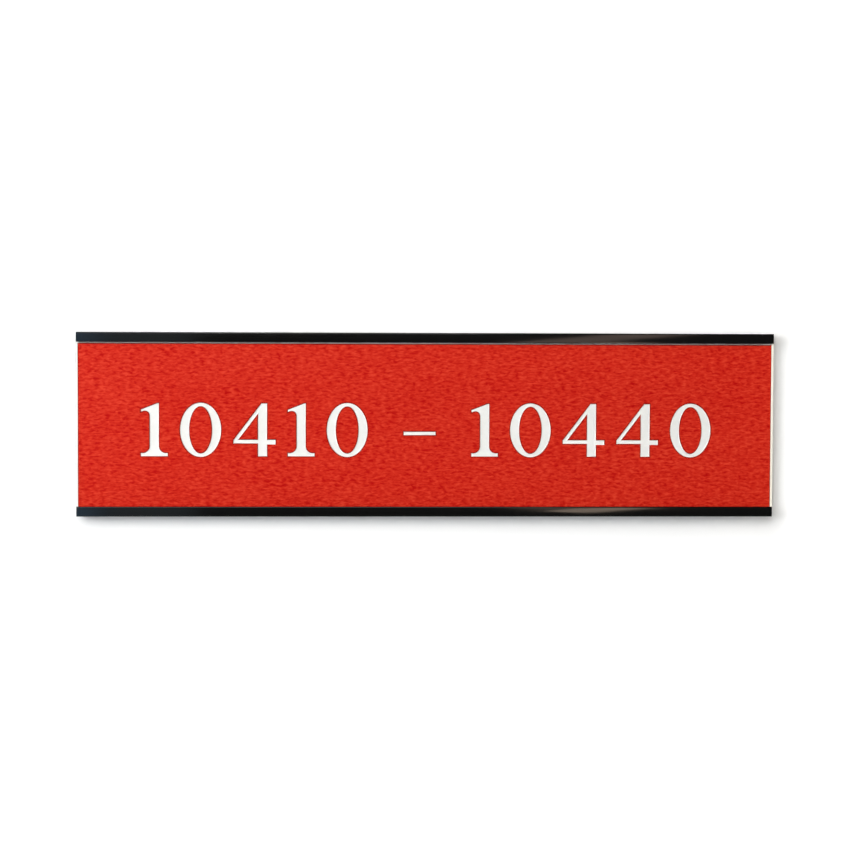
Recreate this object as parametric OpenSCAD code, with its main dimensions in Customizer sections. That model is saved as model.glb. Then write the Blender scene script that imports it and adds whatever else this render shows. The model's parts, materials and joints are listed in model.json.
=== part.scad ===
// A wall name plate: a two-layer engraving plate that slides in an extruded wall holder.
// The wall is the plane y = 0, the plate faces -Y, and +Z is up.

/* [Name plate] */
// Length of the plate, left to right
plate_length = 204; // [120:0.1:400]
// Height of the plate
plate_height = 50.3; // [30:0.1:120]
// Thickness of the plate, cap and core together
plate_thickness = 1.6; // [1.2:0.05:3.2]
// Thickness of the coloured cap layer
cap_thickness = 0.25; // [0.1:0.05:0.5]
// Width of the 45 degree bevel round all four edges, which bares the core
edge_bevel = 1; // [0.6:0.05:1.1]

/* [Wall holder] */
// Thickness of the web behind the plate
web_thickness = 2; // [1.6:0.1:4]
// Thickness of the flanges above and below the plate
flange_thickness = 0.8; // [0.8:0.1:3]
// Thickness of the lips in front of the plate
lip_thickness = 1.2; // [1:0.1:3]
// How far each lip stands in from its flange
lip_reach = 2.1; // [1.8:0.1:6]
// Radius of the outer front corners
front_radius = 0.2; // [0.1:0.05:1]
// Radius of the outer back corners
back_radius = 0.4; // [0.2:0.1:1]
// Radius of both edges of each lip
nose_radius = 0.2; // [0.1:0.05:0.5]

/* [Screw holes] */
// Diameter of the screw's clearance hole
screw_hole_d = 3.2; // [2.4:0.1:4]
// Diameter of the countersink at the face of the web
screw_head_d = 5.7; // [4.6:0.1:6]
// Angle of the countersink
screw_head_angle = 82; // [82:1:100]
// Distance of each hole from its end of the holder
screw_inset = 12.7; // [6:0.1:20]

/* [Foam tape] */
// Width of the tape, up the wall
tape_width = 25.4; // [12:0.1:30]
// Thickness of the tape
tape_thickness = 0.8; // [0.4:0.1:3]
// Distance of the tape from each end of the holder
tape_inset = 25.4; // [18:0.1:50]

/* [Fit] */
// Clearance in front of the plate and behind it
face_clearance = 0.1; // [0.05:0.05:0.5]
// Clearance above the plate, which stands on the lower flange
top_clearance = 1.7; // [0.2:0.1:1.8]
// How far each end of the plate stands past the holder
end_overhang = 0.4; // [0:0.1:2]

/* [Hidden] */
$fn = 96;

// How far a cutting shape runs past what it cuts
overcut = 1;

// Places through the depth, from the wall to the front
web_back = -tape_thickness;
web_front = web_back - web_thickness;
plate_back = web_front - face_clearance;
plate_front = plate_back - plate_thickness;
lip_back = plate_front - face_clearance;
holder_front = lip_back - lip_thickness;

// The holder's section
slot_height = plate_height + top_clearance;
holder_height = slot_height + 2 * flange_thickness;
window_height = slot_height - 2 * lip_reach;
holder_length = plate_length - 2 * end_overhang;

plate_bottom = -slot_height / 2;
screw_x = holder_length / 2 - screw_inset;
tape_length = holder_length - 2 * tape_inset;

// What a rounding takes off a corner at the origin, with the solid in the +X and +Y quarter
module corner_waste(radius) {
    difference() {
        translate([-overcut, -overcut]) square(radius + overcut);
        translate([radius, radius]) circle(radius);
    }
}

// Section of the extrusion, with depth along X and height along Y
module holder_profile() {
    difference() {
        translate([holder_front, -holder_height / 2])
            square([web_back - holder_front, holder_height]);
        translate([lip_back, -slot_height / 2])
            square([web_front - lip_back, slot_height]);
        translate([holder_front - overcut, -window_height / 2])
            square([lip_thickness + 2 * overcut, window_height]);
        for (half = [0, 1]) mirror([0, half]) {
            translate([holder_front, -holder_height / 2]) corner_waste(front_radius);
            translate([web_back, -holder_height / 2]) rotate(90) corner_waste(back_radius);
            translate([lip_back, -window_height / 2]) rotate(180) corner_waste(nose_radius);
            translate([holder_front, -window_height / 2]) rotate(270) corner_waste(nose_radius);
        }
    }
}

// Countersunk hole that starts at the back of the web and opens towards the plate
module screw_hole() {
    flare = tan(screw_head_angle / 2);
    sink_depth = (screw_head_d - screw_hole_d) / 2 / flare;
    rotate([90, 0, 0]) {
        translate([0, 0, -overcut])
            cylinder(h = web_thickness + 2 * overcut, d = screw_hole_d);
        translate([0, 0, web_thickness - sink_depth])
            cylinder(h = sink_depth + overcut, d1 = screw_hole_d, d2 = screw_head_d + 2 * overcut * flare);
    }
}

// Section across the plate, with its face on the X axis and both front corners bevelled
module plate_section(span) {
    edge = span / 2;
    polygon([
        [-edge, plate_thickness],
        [edge, plate_thickness],
        [edge, edge_bevel],
        [edge - edge_bevel, 0],
        [edge_bevel - edge, 0],
        [-edge, edge_bevel]
    ]);
}

// One layer of the bevelled plate, at a depth behind its face
module plate_layer(depth, thickness) {
    translate([0, plate_front, plate_bottom + plate_height / 2]) intersection() {
        linear_extrude(plate_height, center = true) plate_section(plate_length);
        rotate([0, 90, 0]) linear_extrude(plate_length, center = true) plate_section(plate_height);
        translate([-plate_length / 2, depth, -plate_height / 2])
            cube([plate_length, thickness, plate_height]);
    }
}

module wall_holder() {
    color([0.05, 0.05, 0.06]) difference() {
        rotate([90, 0, 90]) linear_extrude(holder_length, center = true) holder_profile();
        for (side = [-1, 1]) translate([side * screw_x, web_back, 0]) screw_hole();
    }
}

module plate_core() {
    color([0.95, 0.94, 0.9]) plate_layer(cap_thickness, plate_thickness - cap_thickness);
}

module plate_cap() {
    color([0.8, 0.15, 0.11]) plate_layer(0, cap_thickness);
}

module foam_tape() {
    color([0.85, 0.85, 0.83]) translate([-tape_length / 2, web_back, -tape_width / 2])
        cube([tape_length, tape_thickness, tape_width]);
}

wall_holder();
plate_core();
plate_cap();
foam_tape();
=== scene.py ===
import bpy
import bmesh
import json
import math
from mathutils import Matrix, Vector


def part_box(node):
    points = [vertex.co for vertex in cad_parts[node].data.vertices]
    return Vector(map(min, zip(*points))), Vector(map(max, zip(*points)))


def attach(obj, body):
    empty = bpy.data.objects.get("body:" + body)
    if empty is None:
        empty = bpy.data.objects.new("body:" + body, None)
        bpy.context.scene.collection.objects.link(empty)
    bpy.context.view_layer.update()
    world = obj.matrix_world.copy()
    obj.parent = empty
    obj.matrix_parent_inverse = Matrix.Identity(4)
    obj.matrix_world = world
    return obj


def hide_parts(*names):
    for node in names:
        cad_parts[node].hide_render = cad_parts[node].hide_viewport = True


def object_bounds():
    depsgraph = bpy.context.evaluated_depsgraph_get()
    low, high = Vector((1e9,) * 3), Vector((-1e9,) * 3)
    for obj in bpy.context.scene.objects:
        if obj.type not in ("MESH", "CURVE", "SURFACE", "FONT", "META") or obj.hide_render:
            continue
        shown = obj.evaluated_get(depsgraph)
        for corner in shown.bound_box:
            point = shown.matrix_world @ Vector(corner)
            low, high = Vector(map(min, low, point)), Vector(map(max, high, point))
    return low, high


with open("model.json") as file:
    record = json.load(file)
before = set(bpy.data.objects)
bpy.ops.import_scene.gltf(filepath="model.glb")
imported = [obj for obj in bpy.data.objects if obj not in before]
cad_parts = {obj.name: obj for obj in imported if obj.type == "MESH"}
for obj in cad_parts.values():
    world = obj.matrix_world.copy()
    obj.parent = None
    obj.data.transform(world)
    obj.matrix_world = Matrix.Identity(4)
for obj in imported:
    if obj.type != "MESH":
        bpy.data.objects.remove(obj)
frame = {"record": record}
cadLow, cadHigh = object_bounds()
scene = bpy.context.scene
mm = 0.001
samePoint = 0.001 * mm  # points closer than this count as one
mostly = 0.9  # a direction with more than this share along an axis runs along it

holderLow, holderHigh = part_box("wall_holder")
coreLow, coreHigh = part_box("plate_core")
capLow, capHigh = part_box("plate_cap")
tapeLow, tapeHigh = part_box("foam_tape")
screwHoles = next(mount for mount in frame["record"]["mounts"] if mount["name"] == "screw_holes")
print("frame loaded")


# Helpers for meshes
def newPiece(name, bm):
    mesh = bpy.data.meshes.new(name)
    bm.to_mesh(mesh)
    bm.free()
    piece = bpy.data.objects.new(name, mesh)
    scene.collection.objects.link(piece)
    return piece


def removePiece(piece):
    mesh = piece.data
    bpy.data.objects.remove(piece)
    bpy.data.meshes.remove(mesh)


def cutAway(piece, cutter):  # takes the cutter's shape out of the piece's own mesh
    for item in (piece, cutter):
        item.data.transform(Matrix.Scale(1 / mm, 4))  # the solver is only fine enough in millimetres
    boolean = piece.modifiers.new("cut", "BOOLEAN")
    boolean.operation = "DIFFERENCE"
    boolean.solver = "EXACT"
    boolean.object = cutter
    graph = bpy.context.evaluated_depsgraph_get()
    cutMesh = bpy.data.meshes.new_from_object(piece.evaluated_get(graph))
    piece.modifiers.remove(boolean)
    oldMesh = piece.data
    piece.data = cutMesh
    bpy.data.meshes.remove(oldMesh)
    for item in (piece, cutter):
        item.data.transform(Matrix.Scale(mm, 4))


def finishPiece(piece, materials, smoothAngle):  # edges sharper than the angle, in degrees, stay sharp
    piece.data.materials.clear()
    for material in materials:
        piece.data.materials.append(material)
    piece.data.shade_smooth()
    piece.data.set_sharp_from_angle(angle=math.radians(smoothAngle))


def turnOutwards(bm):  # a closed mesh that is inside out has a negative volume
    bm.normal_update()
    bmesh.ops.recalc_face_normals(bm, faces=bm.faces)
    if bm.calc_volume(signed=True) < 0:
        bmesh.ops.reverse_faces(bm, faces=bm.faces)
    bm.normal_update()


def extrudeBy(bm, faces, offset):  # the faces stay, and a moved copy of them closes the other end
    made = bmesh.ops.extrude_face_region(bm, geom=faces, use_keep_orig=True)
    movedVerts = [item for item in made["geom"] if isinstance(item, bmesh.types.BMVert)]
    bmesh.ops.translate(bm, vec=offset, verts=movedVerts)


def boxBmesh(low, high):
    bm = bmesh.new()
    bmesh.ops.create_cube(bm, size=1)
    bmesh.ops.scale(bm, vec=high - low, verts=bm.verts)
    bmesh.ops.translate(bm, vec=(low + high) / 2, verts=bm.verts)
    return bm


# Helpers for materials
def newMaterial(name):
    material = bpy.data.materials.new(name)
    material.use_nodes = True
    tree = material.node_tree
    return material, tree, tree.nodes["Principled BSDF"]


def setInputs(tree, node, inputs):  # an input is a value, or a socket to link from
    for name, value in inputs.items():
        if isinstance(value, bpy.types.NodeSocket):
            tree.links.new(value, node.inputs[name])
        else:
            node.inputs[name].default_value = value


def addNode(tree, kind, inputs=None, **fields):
    node = tree.nodes.new(kind)
    for name, value in fields.items():
        setattr(node, name, value)
    setInputs(tree, node, inputs or {})
    return node


def noiseOn(tree, stretch, detail=2.0, roughness=0.5, distortion=0.0):  # stretch is in cells per metre
    place = addNode(tree, "ShaderNodeTexCoord")
    mapping = addNode(tree, "ShaderNodeMapping", {"Vector": place.outputs["Object"], "Scale": stretch})
    inputs = {"Vector": mapping.outputs[0], "Scale": 1.0, "Detail": detail,
              "Roughness": roughness, "Distortion": distortion}
    return addNode(tree, "ShaderNodeTexNoise", inputs).outputs[0]


def mathOf(tree, operation, first, second):
    return addNode(tree, "ShaderNodeMath", {0: first, 1: second}, operation=operation).outputs[0]


def sumOf(tree, values, weights):
    shares = [mathOf(tree, "MULTIPLY", value, weight) for value, weight in zip(values, weights)]
    total = shares[0]
    for share in shares[1:]:
        total = mathOf(tree, "ADD", total, share)
    return total


def ranged(tree, value, fromRange, toRange):
    inputs = {"Value": value, "From Min": fromRange[0], "From Max": fromRange[1],
              "To Min": toRange[0], "To Max": toRange[1]}
    return addNode(tree, "ShaderNodeMapRange", inputs).outputs[0]


def rampOf(tree, value, stops):  # stops are (position, colour) pairs
    ramp = addNode(tree, "ShaderNodeValToRGB", {"Fac": value})
    elements = ramp.color_ramp.elements
    for index, (position, colour) in enumerate(stops):
        element = elements[index] if index < 2 else elements.new(position)  # a new ramp has two stops
        element.position = position
        element.color = (*colour, 1)
    return ramp.outputs["Color"]


def bumpOf(tree, height, strength, distance):
    inputs = {"Height": height, "Strength": strength, "Distance": distance}
    return addNode(tree, "ShaderNodeBump", inputs).outputs[0]


# Camera, at the photograph's viewing angle
cameraSettings = {
    "lens": 100.0,  # the lens and the sensor are in millimetres
    "sensor": 36.0,
    "place": (-0.03237, -0.69185, 0.03474),
    "turn": (87.103, -0.23, -2.6455),  # degrees
}


def makeCamera():
    s = cameraSettings
    data = bpy.data.cameras.new("camera")
    data.lens = s["lens"]
    data.sensor_width = s["sensor"]
    camera = bpy.data.objects.new("camera", data)
    camera.location = s["place"]
    camera.rotation_euler = [math.radians(angle) for angle in s["turn"]]
    scene.collection.objects.link(camera)
    scene.camera = camera


makeCamera()
print("camera placed")


# Wall holder: a black extrusion with two lips and countersunk holes
holderSettings = {
    "faceClearance": 0.1 * mm,  # in front of the plate and behind it
    "lipReach": 2.1 * mm,
    "frontRound": 0.2 * mm,
    "backRound": 0.4 * mm,
    "noseRound": 0.2 * mm,
    "roundSegments": 6,
    "crown": 0.022 * mm,  # how far a lip's face falls back towards its edges
    "crownCuts": 9,
    "endBreak": 0.08 * mm,
    "sinkRadius": 2.85 * mm,
    "sinkAngle": 82.0,
    "overcut": 0.5 * mm,
    "holeSteps": 64,
    "smoothAngle": 35.0,
}
webFront = coreHigh.y + holderSettings["faceClearance"]
lipBack = capLow.y - holderSettings["faceClearance"]


def holderSection(bm):  # one flat face at the left end, with its corners rounded
    s = holderSettings
    front, back = holderLow.y, holderHigh.y
    outer = holderHigh.z
    slot = -coreLow.z  # the plate stands on the slot's lower face
    window = slot - s["lipReach"]
    corners = [  # depth, height, radius
        (front, -outer, s["frontRound"]), (back, -outer, s["backRound"]),
        (back, outer, s["backRound"]), (front, outer, s["frontRound"]),
        (front, window, s["noseRound"]), (lipBack, window, s["noseRound"]),
        (lipBack, slot, 0), (webFront, slot, 0),
        (webFront, -slot, 0), (lipBack, -slot, 0),
        (lipBack, -window, s["noseRound"]), (front, -window, s["noseRound"]),
    ]
    verts = [bm.verts.new((holderLow.x, depth, height)) for depth, height, radius in corners]
    bm.faces.new(verts)
    for radius in sorted({s["frontRound"], s["backRound"], s["noseRound"]}):
        rounded = [vert for vert, corner in zip(verts, corners) if vert.is_valid and corner[2] == radius]
        bmesh.ops.bevel(bm, geom=rounded, offset=radius, segments=s["roundSegments"], profile=0.5,
                        affect="VERTICES", material=-1)
    crownLips(bm, front, outer, window)
    return bm.faces[:]


def crownLips(bm, front, outer, window):
    s = holderSettings
    lipMiddle = (outer + window) / 2
    lipHalf = (outer - window) / 2
    lipFronts = [edge for edge in bm.edges if edge.calc_length() > lipHalf
                 and all(abs(vert.co.y - front) < samePoint for vert in edge.verts)]
    for edge in lipFronts:  # one at a time, so that no cut runs across the section
        bmesh.ops.subdivide_edges(bm, edges=[edge], cuts=s["crownCuts"])
    for vert in bm.verts:
        if vert.co.y < front + s["frontRound"]:
            share = (abs(vert.co.z) - lipMiddle) / lipHalf
            vert.co.y += s["crown"] * share ** 2


def holderBlank():  # the section drawn out to length, with a small break round each sawn end
    s = holderSettings
    bm = bmesh.new()
    section = holderSection(bm)
    extrudeBy(bm, section, (holderHigh.x - holderLow.x, 0, 0))
    turnOutwards(bm)
    ends = [face for face in bm.faces if abs(face.normal.x) > mostly]
    for end in ends:
        inward = -math.copysign(s["endBreak"], end.normal.x)
        rim = end.verts[:]
        bmesh.ops.inset_region(bm, faces=[end], thickness=s["endBreak"], use_even_offset=True)
        bmesh.ops.translate(bm, vec=(inward, 0, 0), verts=rim)
    return bm


def holeCutter(centreX):
    s = holderSettings
    holeRadius = screwHoles["dims"]["hole_r_mm"] * mm
    flare = math.tan(math.radians(s["sinkAngle"] / 2))
    sinkBack = webFront + (s["sinkRadius"] - holeRadius) / flare
    frontEnd = webFront - s["overcut"]
    backEnd = holderHigh.y + s["overcut"]
    profile = [(0, backEnd), (holeRadius, backEnd), (holeRadius, sinkBack),
               (s["sinkRadius"] + s["overcut"] * flare, frontEnd), (0, frontEnd)]
    bm = bmesh.new()
    verts = [bm.verts.new((centreX + radius, depth, 0)) for radius, depth in profile]
    edges = [bm.edges.new(pair) for pair in zip(verts, verts[1:])]
    bmesh.ops.spin(bm, geom=verts + edges, cent=(centreX, 0, 0), axis=(0, 1, 0),
                   angle=2 * math.pi, steps=s["holeSteps"], use_merge=True)
    bmesh.ops.remove_doubles(bm, verts=bm.verts, dist=samePoint)
    turnOutwards(bm)
    return newPiece("holeCutter", bm)


blackGlossSettings = {
    "dieLines": {"stretch": (12, 3200, 3200), "detail": 3},  # drawn out along the extrusion
    "smudges": {"stretch": (90, 160, 160), "detail": 4, "roughness": 0.6},
    "specks": {"stretch": (2600, 2600, 2600), "detail": 1},
    "shadeWeights": (0.5, 0.5),  # die lines, smudges
    "shades": [(0.3, (0.0016, 0.0016, 0.0018)), (0.7, (0.0040, 0.0038, 0.0036))],
    "roughness": ((0.3, 0.7), (0.05, 0.10)),  # from a range of the shade to a range of roughness
    "reliefWeights": (1.0, 0.35),  # die lines, specks
    "bump": {"strength": 0.05, "distance": 0.02 * mm},
    "ior": 1.5,
}


def blackGloss():
    s = blackGlossSettings
    material, tree, shader = newMaterial("blackGloss")
    dieLines = noiseOn(tree, **s["dieLines"])
    smudges = noiseOn(tree, **s["smudges"])
    specks = noiseOn(tree, **s["specks"])
    shade = sumOf(tree, (dieLines, smudges), s["shadeWeights"])
    relief = sumOf(tree, (dieLines, specks), s["reliefWeights"])
    setInputs(tree, shader, {
        "Base Color": rampOf(tree, shade, s["shades"]),
        "Roughness": ranged(tree, shade, *s["roughness"]),
        "Normal": bumpOf(tree, relief, **s["bump"]),
        "IOR": s["ior"],
    })
    return material


def makeHolder():
    holder = newPiece("holder_extrusion", holderBlank())
    spacing = screwHoles["dims"]["spacing_x_mm"] * mm
    for side in (-1, 1):
        cutter = holeCutter(side * spacing / 2)
        cutAway(holder, cutter)
        removePiece(cutter)
    finishPiece(holder, [blackGloss()], holderSettings["smoothAngle"])
    weighted = holder.modifiers.new("weightedNormals", "WEIGHTED_NORMAL")
    weighted.keep_sharp = True
    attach(holder, "holder")
    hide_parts("wall_holder")


makeHolder()
print("wall holder made")


# Numerals, engraved through the cap into the core
numeralSettings = {
    "text": "10410-10440",
    "height": 16.0 * mm,
    "length": 167.0 * mm,
    "gapRoundDash": 0.62,  # a share of the height, as in the outlines
    "centre": (0.2 * mm, -1.6 * mm),  # from the middle of the wall holder
    "depth": 0.40 * mm,
    "draft": 0.50 * mm,  # how far the walls lean in, as a V cutter leaves them
    "overcut": 0.2 * mm,
    "lead": 0.002 * mm,  # the leaning walls start this far in front of the cap, so that no faces coincide
    "curveSteps": 12,
    "roundness": 0.5523,  # handle length that makes a quarter round
}


# Each outline is a list of loops in shares of the height. A step of two numbers is a straight line
# to that point, and a step of four is a round that turns at its first point and ends at its second.
def ovalLoop(left, bottom, right, top):
    middleX = (left + right) / 2
    middleZ = (bottom + top) / 2
    return [(middleX, bottom), (right, bottom, right, middleZ), (right, top, middleX, top),
            (left, top, left, middleZ), (left, bottom, middleX, bottom)]


numeralOutlines = {
    "0": {"width": 0.78, "loops": [ovalLoop(0, -0.012, 0.78, 1.012), ovalLoop(0.20, 0.088, 0.58, 0.912)]},
    "1": {"width": 0.52, "loops": [[
        (0, 0), (0.52, 0), (0.52, 0.095), (0.47, 0.095), (0.36, 0.095, 0.36, 0.20), (0.36, 1), (0.31, 1),
        (0, 0.88), (0, 0.80), (0.05, 0.82), (0.16, 0.864, 0.16, 0.75), (0.16, 0.20),
        (0.16, 0.095, 0.05, 0.095), (0, 0.095), (0, 0)]]},
    "4": {"width": 0.80, "loops": [
        [(0.445, 0), (0.645, 0), (0.645, 0.235), (0.80, 0.235), (0.80, 0.338), (0.645, 0.338), (0.645, 1),
         (0.515, 1), (0, 0.32), (0, 0.235), (0.445, 0.235), (0.445, 0)],
        [(0.445, 0.338), (0.445, 0.742), (0.139, 0.338), (0.445, 0.338)]]},
    "-": {"width": 0.62, "loops": [[(0, 0.39), (0.62, 0.39), (0.62, 0.488), (0, 0.488), (0, 0.39)]]},
}


def addLoop(curve, steps, left):  # one closed outline, placed by its left edge
    height = numeralSettings["height"]
    ends = [Vector((step[-2] + left, step[-1], 0)) * height for step in steps]
    spline = curve.splines.new("BEZIER")
    spline.use_cyclic_u = True
    spline.bezier_points.add(len(steps) - 2)  # it starts with one, and the last step ends at the first
    points = spline.bezier_points
    for point, end in zip(points, ends):
        point.co = end
    for index, step in enumerate(steps[1:]):
        start = points[index]
        end = points[(index + 1) % len(points)]
        isRound = len(step) == 4
        start.handle_right_type = "FREE" if isRound else "VECTOR"
        end.handle_left_type = "FREE" if isRound else "VECTOR"
        if isRound:
            turn = Vector((step[0] + left, step[1], 0)) * height
            start.handle_right = start.co.lerp(turn, numeralSettings["roundness"])
            end.handle_left = end.co.lerp(turn, numeralSettings["roundness"])


def numeralGap():  # the even gap between numerals that fills the wanted length
    s = numeralSettings
    taken = sum(numeralOutlines[mark]["width"] for mark in s["text"])
    dashes = s["text"].count("-")
    plainGaps = len(s["text"]) - 1 - 2 * dashes
    return (s["length"] / s["height"] - taken - 2 * dashes * s["gapRoundDash"]) / plainGaps


def flatNumerals():  # the filled outlines, lying flat with their lower left corner at the origin
    s = numeralSettings
    curve = bpy.data.curves.new("numerals", "CURVE")
    curve.dimensions = "2D"
    curve.fill_mode = "FRONT"
    curve.resolution_u = s["curveSteps"]
    left = 0
    gap = numeralGap()
    for mark, following in zip(s["text"], s["text"][1:] + " "):
        for loop in numeralOutlines[mark]["loops"]:
            addLoop(curve, loop, left)
        left += numeralOutlines[mark]["width"]
        left += s["gapRoundDash"] if "-" in (mark, following) else gap
    flat = bpy.data.objects.new("numerals", curve)
    scene.collection.objects.link(flat)
    graph = bpy.context.evaluated_depsgraph_get()
    mesh = bpy.data.meshes.new_from_object(flat.evaluated_get(graph))
    bm = bmesh.new()
    bm.from_mesh(mesh)
    bpy.data.objects.remove(flat)
    bpy.data.curves.remove(curve)
    bpy.data.meshes.remove(mesh)
    bmesh.ops.remove_doubles(bm, verts=bm.verts, dist=samePoint)
    bmesh.ops.dissolve_degenerate(bm, edges=bm.edges, dist=samePoint)
    return bm


def numeralCutter():  # stands in front of the plate, and its floor lies in the core
    s = numeralSettings
    bm = flatNumerals()
    standing = Matrix.Rotation(math.radians(90), 4, "X")
    bmesh.ops.transform(bm, matrix=standing, verts=bm.verts)
    leftEdge = s["centre"][0] - s["length"] / 2
    bottomEdge = s["centre"][1] - s["height"] / 2
    bmesh.ops.translate(bm, vec=(leftEdge, capLow.y - s["lead"], bottomEdge), verts=bm.verts)
    floor = bm.faces[:]
    extrudeBy(bm, floor, (0, -s["overcut"], 0))
    bm.normal_update()
    bmesh.ops.inset_region(bm, faces=floor, thickness=s["draft"], use_even_offset=True)
    bmesh.ops.delete(bm, geom=floor, context="FACES")  # the inset leaves some of them folded
    rim = [edge for edge in bm.edges if edge.is_boundary]
    rimVerts = list({vert for edge in rim for vert in edge.verts})
    bmesh.ops.translate(bm, vec=(0, s["lead"] + s["depth"], 0), verts=rimVerts)
    bmesh.ops.triangle_fill(bm, edges=rim, use_beauty=True, normal=(0, 1, 0))
    turnOutwards(bm)
    return newPiece("numeralCutter", bm)


# Engraving plate: a red cap bonded to a white core, bevelled at 45 degrees round all four edges
plateSettings = {
    "edgeBreak": 0.04 * mm,
    "breakSegments": 2,
    "smoothAngle": 25.0,
}


def frontOf(bm):  # the face that looks out from the wall
    return min(bm.faces, key=lambda face: face.calc_center_median().y)


def capBlank():  # the bevel narrows the front, and the front edge is broken a little
    s = plateSettings
    size = capHigh - capLow
    middle = (capLow + capHigh) / 2
    narrowing = (1 - 2 * size.y / size.x, 1, 1 - 2 * size.y / size.z)
    bm = boxBmesh(capLow, capHigh)
    frontVerts = frontOf(bm).verts[:]
    bmesh.ops.scale(bm, vec=narrowing, space=Matrix.Translation(-middle), verts=frontVerts)
    bmesh.ops.bevel(bm, geom=frontOf(bm).edges[:], offset=s["edgeBreak"], segments=s["breakSegments"],
                    profile=0.5, affect="EDGES", material=-1)
    return bm


def coreBlank():
    bevelWidth = coreHigh.x - capHigh.x  # up to where the cap starts
    bm = boxBmesh(coreLow, coreHigh)
    bmesh.ops.bevel(bm, geom=frontOf(bm).edges[:], offset=bevelWidth, segments=1, profile=0.5,
                    affect="EDGES", material=-1)
    return bm


redCapSettings = {
    "flecks": {"stretch": (590, 900, 1550), "detail": 1.5, "roughness": 0.5, "distortion": 0.5},
    "fine": {"stretch": (1500, 1500, 5200), "detail": 2},
    "clouds": {"stretch": (60, 60, 140), "detail": 2},
    "shadeWeights": (0.70, 0.2, 0.10),  # flecks, fine, clouds
    "shades": [(0.34, (0.49, 0.004, 0.003)), (0.48, (0.62, 0.021, 0.010)), (0.65, (0.72, 0.047, 0.021))],
    "roughness": ((0.34, 0.65), (0.60, 0.46)),
    "reliefWeights": (1.0, 0.5),  # flecks, fine
    "bump": {"strength": 0.12, "distance": 0.03 * mm},
    "specular": 0.03,
}


def redCap():
    s = redCapSettings
    material, tree, shader = newMaterial("redCap")
    flecks = noiseOn(tree, **s["flecks"])
    fine = noiseOn(tree, **s["fine"])
    clouds = noiseOn(tree, **s["clouds"])
    shade = sumOf(tree, (flecks, fine, clouds), s["shadeWeights"])
    relief = sumOf(tree, (flecks, fine), s["reliefWeights"])
    setInputs(tree, shader, {
        "Base Color": rampOf(tree, shade, s["shades"]),
        "Roughness": ranged(tree, shade, *s["roughness"]),
        "Normal": bumpOf(tree, relief, **s["bump"]),
        "Specular IOR Level": s["specular"],
    })
    return material


cutEdgePaintedShadeSettings = {
    "toolMarks": {"stretch": (2500, 2500, 2500), "detail": 3, "roughness": 0.7},
    # darker than the face: painted shade on the cut walls and bevels
    "shades": [(0.3, (0.26, 0.010, 0.005)), (0.7, (0.38, 0.022, 0.011))],
    "roughness": 0.65,
    "bump": {"strength": 0.4, "distance": 0.02 * mm},
    "specular": 0.05,
}


def cutEdgePaintedShade():  # where the cutter went through the cap, in a darker red that is painted shade on the cut walls
    s = cutEdgePaintedShadeSettings
    material, tree, shader = newMaterial("cutEdgePaintedShade")
    toolMarks = noiseOn(tree, **s["toolMarks"])
    setInputs(tree, shader, {
        "Base Color": rampOf(tree, toolMarks, s["shades"]),
        "Roughness": s["roughness"],
        "Normal": bumpOf(tree, toolMarks, **s["bump"]),
        "Specular IOR Level": s["specular"],
    })
    return material


whiteCoreSettings = {
    "toolMarks": {"stretch": (700, 700, 700), "detail": 4, "roughness": 0.65},
    "scuffs": {"stretch": (120, 120, 120), "detail": 3},
    "shadeWeights": (0.5, 0.5),  # tool marks, scuffs
    "shades": [(0.3, (0.89, 0.884, 0.84)), (0.6, (0.95, 0.946, 0.915))],
    "roughness": ((0.3, 0.7), (0.45, 0.65)),  # from a range of the scuffs to a range of roughness
    "bump": {"strength": 0.25, "distance": 0.02 * mm},
}


def whiteCore():
    s = whiteCoreSettings
    material, tree, shader = newMaterial("whiteCore")
    toolMarks = noiseOn(tree, **s["toolMarks"])
    scuffs = noiseOn(tree, **s["scuffs"])
    shade = sumOf(tree, (toolMarks, scuffs), s["shadeWeights"])
    setInputs(tree, shader, {
        "Base Color": rampOf(tree, shade, s["shades"]),
        "Roughness": ranged(tree, scuffs, *s["roughness"]),
        "Normal": bumpOf(tree, toolMarks, **s["bump"]),
    })
    return material


def makePlate():
    s = plateSettings
    cap = newPiece("engraved_cap", capBlank())
    core = newPiece("engraved_core", coreBlank())
    cutter = numeralCutter()
    cutAway(cap, cutter)
    cutAway(core, cutter)
    removePiece(cutter)
    finishPiece(cap, [redCap(), cutEdgePaintedShade()], s["smoothAngle"])
    for face in cap.data.polygons:
        face.material_index = 0 if face.normal.y < -mostly else 1  # all but the front is a cut edge, given the darker red of painted shade
    finishPiece(core, [whiteCore()], s["smoothAngle"])
    for piece, node, slot in ((cap, "plate_cap", "cap_red"), (core, "plate_core", "core_white")):
        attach(piece, "plate")
        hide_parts(node)


makePlate()
print("plate engraved")


# Foam tape behind the web, squeezed a little so that its cut edges swell
tapeSettings = {
    "cutsAlong": 120,
    "cutsUp": 20,
    "cutsThrough": 3,
    "swell": 0.18 * mm,
    "ripple": 0.12 * mm,
    "ripplesPerMetre": 140.0,
    "secondRipple": (0.6, 1.7),  # its height and its frequency, as shares of the first one's
    "endPhase": 1.0,
    "sidePhase": 2.0,
    "smoothAngle": 40.0,
}


def edgesAlong(bm, axis):
    return [edge for edge in bm.edges
            if abs((edge.verts[0].co - edge.verts[1].co).normalized()[axis]) > mostly]


def rippleAt(distance, phase):  # distance runs along a cut edge
    s = tapeSettings
    height, frequency = s["secondRipple"]
    angle = s["ripplesPerMetre"] * 2 * math.pi * distance
    return s["ripple"] * (math.sin(angle) + height * math.sin(frequency * angle + phase)) / 2


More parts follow.
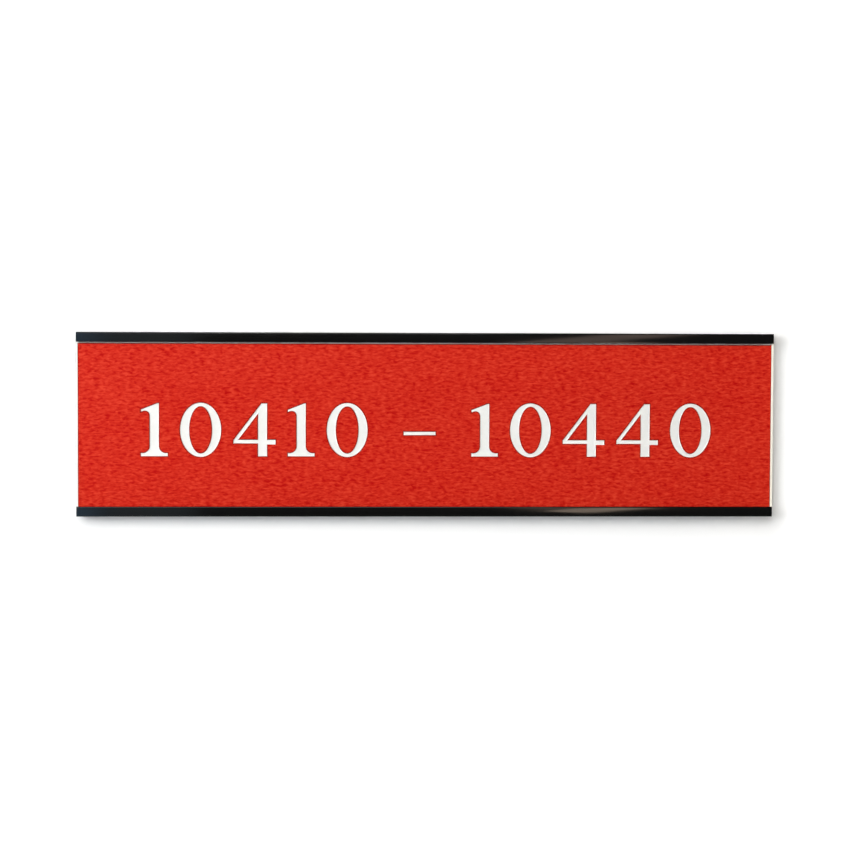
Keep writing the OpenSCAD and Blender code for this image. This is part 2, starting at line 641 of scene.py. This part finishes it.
def tapeBlank():
    s = tapeSettings
    bm = boxBmesh(tapeLow, tapeHigh)
    for axis, cuts in ((0, s["cutsAlong"]), (2, s["cutsUp"]), (1, s["cutsThrough"])):
        bmesh.ops.subdivide_edges(bm, edges=edgesAlong(bm, axis), cuts=cuts, use_grid_fill=True)
    middle = (tapeLow + tapeHigh) / 2
    half = (tapeHigh - tapeLow) / 2
    for vert in bm.verts:
        offset = vert.co - middle
        bulge = s["swell"] * (1 - (offset.y / half.y) ** 2)
        for across, along, phase in ((0, 2, s["endPhase"]), (2, 0, s["sidePhase"])):  # axis numbers
            if abs(offset[across]) > half[across] - samePoint:
                outwards = bulge + rippleAt(offset[along], phase) - s["ripple"]
                vert.co[across] += math.copysign(outwards, offset[across])
    return bm


foamSkinSettings = {
    "cellsPerMetre": 2600.0,
    "stain": {"stretch": (45, 45, 60), "detail": 4, "roughness": 0.6},
    "shadeWeights": (0.6, 0.5),  # cells, stain
    "shades": [(0.2, (0.80, 0.79, 0.74)), (0.75, (0.60, 0.59, 0.54))],
    "roughness": ((0.3, 0.7), (0.55, 0.9)),  # from a range of the stain to a range of roughness
    "bump": {"strength": 0.5, "distance": 0.05 * mm},
}


def foamSkin():
    s = foamSkinSettings
    material, tree, shader = newMaterial("foamSkin")
    place = addNode(tree, "ShaderNodeTexCoord").outputs["Object"]
    inputs = {"Vector": place, "Scale": s["cellsPerMetre"]}
    cells = addNode(tree, "ShaderNodeTexVoronoi", inputs).outputs[0]
    stain = noiseOn(tree, **s["stain"])
    shade = sumOf(tree, (cells, stain), s["shadeWeights"])
    setInputs(tree, shader, {
        "Base Color": rampOf(tree, shade, s["shades"]),
        "Roughness": ranged(tree, stain, *s["roughness"]),
        "Normal": bumpOf(tree, cells, **s["bump"]),
    })
    return material


def makeTape():
    tape = newPiece("tape_strip", tapeBlank())
    finishPiece(tape, [foamSkin()], tapeSettings["smoothAngle"])
    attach(tape, "holder")
    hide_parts("foam_tape")


makeTape()
print("foam tape made")


# Stage: a white wall behind the part and a pale floor below it
stageSettings = {
    "grain": {"stretch": (900, 900, 900), "detail": 2},
    "grainStops": (0.3, 0.7),
    "grainShade": 0.97,  # the darker grains' share of the colour
    "roughness": 0.9,
    "paintedShadowShift": (-0.5 * mm, 0, -4.0 * mm),  # towards the shadow below the part, so that the glow's painted shade lies deepest there
    "glowWidth": 10.0 * mm,
    "wall": {
        "behind": 0.4 * mm,
        "width": 6.0,
        "top": 3.0,
        "colour": (1.0, 1.0, 1.0),
        "glow": (0.04, 0.35),  # beside the part and far from it, for camera, glossy and transmission rays; the dimmer glow beside the part is painted shade, and the shift gives painted light above it
        "cameraGlow": 0.0,  # added for camera rays alone
    },
    "floor": {
        "drop": 1.45,  # such a sign hangs at eye level
        "size": 3.0,
        "colour": (0.85, 0.85, 0.85),
        "glow": (0.5, 0.5),
        "cameraGlow": 0.5,  # so that the floor's edge doesn't show from behind
    },
}


def rayKinds(tree):  # 1 for camera rays, and 1 for glossy and transmission rays
    rays = addNode(tree, "ShaderNodeLightPath").outputs
    shinyRay = mathOf(tree, "MAXIMUM", rays["Is Glossy Ray"], rays["Is Transmission Ray"])
    return rays["Is Camera Ray"], shinyRay


def vectorNode(tree, operation, first, second=(0, 0, 0)):
    return addNode(tree, "ShaderNodeVectorMath", {0: first, 1: second}, operation=operation)


def distanceFromPart(tree):  # from the edge of the part's box, which is shifted a little towards the painted shadow below
    place = addNode(tree, "ShaderNodeTexCoord").outputs["Object"]
    shifted = vectorNode(tree, "SUBTRACT", place, stageSettings["paintedShadowShift"]).outputs[0]
    across = vectorNode(tree, "ABSOLUTE", shifted).outputs[0]
    outside = vectorNode(tree, "SUBTRACT", across, cadHigh).outputs[0]
    clipped = vectorNode(tree, "MAXIMUM", outside).outputs[0]
    return vectorNode(tree, "LENGTH", clipped).outputs["Value"]


def stageWhite(name, finish):
    s = stageSettings
    material, tree, shader = newMaterial(name)
    grain = noiseOn(tree, **s["grain"])
    darker = tuple(channel * s["grainShade"] for channel in finish["colour"])
    cameraRay, shinyRay = rayKinds(tree)
    # the wall's glow rises away from the part: painted shade beside it, deepest below, lighter above; the
    # floor's stays even
    glow = ranged(tree, distanceFromPart(tree), (0.0, s["glowWidth"]), finish["glow"])
    seenGlow = mathOf(tree, "MULTIPLY", mathOf(tree, "MAXIMUM", cameraRay, shinyRay), glow)
    cameraGlow = mathOf(tree, "MULTIPLY", cameraRay, finish["cameraGlow"])
    setInputs(tree, shader, {
        "Base Color": rampOf(tree, grain, zip(s["grainStops"], (darker, finish["colour"]))),
        "Roughness": s["roughness"],
        "Specular IOR Level": 0.0,
        "Emission Color": (1, 1, 1, 1),
        "Emission Strength": mathOf(tree, "ADD", seenGlow, cameraGlow),
    })
    facing = addNode(tree, "ShaderNodeNewGeometry").outputs["Backfacing"]
    clear = addNode(tree, "ShaderNodeBsdfTransparent")  # the wall doesn't hide the part's back
    mixed = addNode(tree, "ShaderNodeMixShader", {0: facing, 1: shader.outputs[0], 2: clear.outputs[0]})
    tree.links.new(mixed.outputs[0], tree.nodes["Material Output"].inputs["Surface"])
    return material


def newSheet(name, width, length, tilt, middle):  # tilt is in degrees about X
    bm = bmesh.new()
    bmesh.ops.create_grid(bm, x_segments=1, y_segments=1, size=0.5)
    bmesh.ops.scale(bm, vec=(width, length, 1), verts=bm.verts)
    bmesh.ops.rotate(bm, matrix=Matrix.Rotation(math.radians(tilt), 3, "X"), verts=bm.verts)
    bmesh.ops.translate(bm, vec=middle, verts=bm.verts)
    return newPiece(name, bm)


def makeStage():
    wallFinish = stageSettings["wall"]
    floorFinish = stageSettings["floor"]
    height = wallFinish["top"] + floorFinish["drop"]
    wallMiddle = (0, wallFinish["behind"], wallFinish["top"] - height / 2)
    wall = newSheet("wall", wallFinish["width"], height, 90, wallMiddle)
    wall.data.materials.append(stageWhite("wallWhite", wallFinish))
    wall.visible_shadow = False  # the lamp behind still lights the part's back
    wall.visible_diffuse = False  # and the wall throws no light back on dull surfaces
    floor = newSheet("floor", floorFinish["size"], floorFinish["size"], 0, (0, 0, -floorFinish["drop"]))
    floor.data.materials.append(stageWhite("floorWhite", floorFinish))


makeStage()
print("stage set")


# Soft studio light. A radiance of 1 is as bright as white paper in full light
lightSettings = {
    "worldGrey": 0.06,
    "lamps": {  # place, aim, width, height, roll in degrees, radiance
        "key": ((-0.36, -1.12, 0.43), (0, 0, 0), 1.05, 0.66, 0, (4.5, 4.46, 4.37)),
        "leftSoft": ((-0.50, -0.54, 0.09), (0, 0, 0), 0.36, 0.42, 0, (5.7, 5.7, 5.7)),
        "window": ((-0.36, -0.75, -0.04), (-0.1, 0, -0.02), 0.40, 0.30, 0, (0.42, 0.70, 1.0)),
        "windowEdge": ((-0.133, -0.75, -0.04), (-0.06, 0, -0.02), 0.055, 0.30, 0, (0.24, 0.29, 0.32)),
        "rightEdge": ((0.60, -0.06, 0.02), (0.1, 0, 0), 0.09, 0.40, 0, (20.0, 18.3, 15.2)),
        "railStreak": ((0.139, -0.75, 0.01), (0.05, 0, 0), 0.040, 0.16, -36, (1.6, 1.2, 1.0)),
        "lowStreak": ((0.142, -0.75, -0.066), (0.05, 0, -0.025), 0.034, 0.072, -38, (4.0, 3.1, 2.4)),
        "behind": ((0.25, 1.20, -0.05), (0, 0, 0), 0.60, 0.60, 0, (11.0, 11.0, 11.0)),
    },
}


def addLamp(name, place, aim, width, height, roll, radiance):
    light = bpy.data.lights.new(name, "AREA")
    light.shape = "RECTANGLE"
    light.size = width
    light.size_y = height
    brightest = max(radiance)
    light.color = [channel / brightest for channel in radiance]
    light.energy = brightest * math.pi * width * height
    lamp = bpy.data.objects.new(name, light)
    facing = (Vector(aim) - Vector(place)).to_track_quat("-Z", "Y").to_matrix().to_4x4()
    lamp.matrix_world = Matrix.Translation(place) @ facing @ Matrix.Rotation(math.radians(roll), 4, "Z")
    lamp.visible_camera = False
    scene.collection.objects.link(lamp)


def makeWorld():  # white to the camera, and to shiny rays that go on past the wall's plane
    world = bpy.data.worlds.new("studio")
    world.use_nodes = True
    tree = world.node_tree
    grey = lightSettings["worldGrey"]
    dim = tree.nodes["Background"]
    dim.inputs["Color"].default_value = (grey, grey, grey, 1)
    white = addNode(tree, "ShaderNodeBackground", {"Color": (1, 1, 1, 1)})
    direction = addNode(tree, "ShaderNodeTexCoord").outputs["Generated"]
    depth = addNode(tree, "ShaderNodeSeparateXYZ", {0: direction}).outputs["Y"]
    pastWall = mathOf(tree, "GREATER_THAN", depth, 0.0)
    cameraRay, shinyRay = rayKinds(tree)
    shown = mathOf(tree, "MAXIMUM", cameraRay, mathOf(tree, "MULTIPLY", shinyRay, pastWall))
    mixed = addNode(tree, "ShaderNodeMixShader", {0: shown, 1: dim.outputs[0], 2: white.outputs[0]})
    tree.links.new(mixed.outputs[0], tree.nodes["World Output"].inputs["Surface"])
    scene.world = world


def makeLight():
    for name, lampValues in lightSettings["lamps"].items():
        addLamp(name, *lampValues)
    makeWorld()
    scene.view_settings.view_transform = "Standard"


makeLight()
print("light set")
